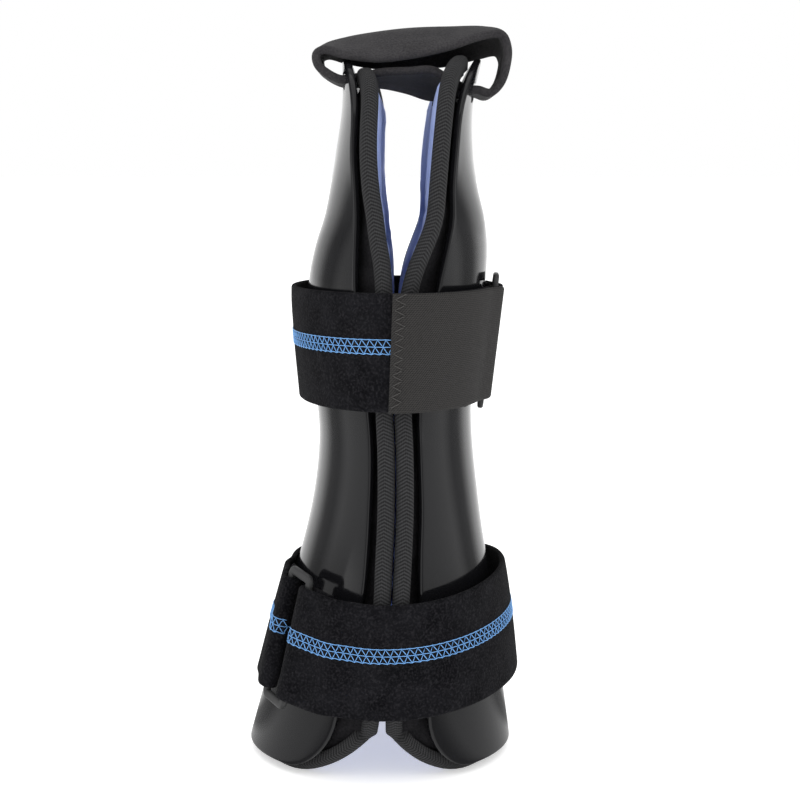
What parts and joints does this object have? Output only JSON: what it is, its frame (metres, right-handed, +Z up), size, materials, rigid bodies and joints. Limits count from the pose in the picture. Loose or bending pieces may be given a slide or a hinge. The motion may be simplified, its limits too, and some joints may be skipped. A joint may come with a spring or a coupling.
{
  "type": "ankle stabilizer brace",
  "caption": "Stirrup ankle brace with rigid side shells, padded liners, a heel strap and hook-and-loop straps that pass through plastic rings.",
  "frame": {"origin": "on the floor under the middle of the brace's bounding box, between the calf ends of the two pads", "axes": "+X from the left shell to the right one, -Y the front of the brace as it is shown, +Z up from the calf ends to the heel strap"},
  "size_m": [0.0938, 0.1128, 0.2477],
  "materials": {
    "shell_plastic": "glossy black moulded polypropylene",
    "pad_lining": "blue brushed lining over foam, black backing",
    "binding_tape": "black herringbone binding tape",
    "loop_pile": "black loop pile strap with blue cover stitch",
    "hook_weave": "dark woven hook tab",
    "ring_plastic": "matte dark grey plastic",
    "heel_cloth": "brushed charcoal cloth"
  },
  "bodies": {
    "root": {"shell_left": "shell_plastic", "shell_right": "shell_plastic", "pad_left": "pad_lining", "pad_right": "pad_lining", "binding_left": "binding_tape", "binding_right": "binding_tape", "upper_strap": "loop_pile", "upper_hook_tab": "hook_weave", "upper_ring": "ring_plastic", "lower_strap": "loop_pile", "lower_ring": "ring_plastic", "heel_strap": "heel_cloth"}
  },
  "joints": []
}
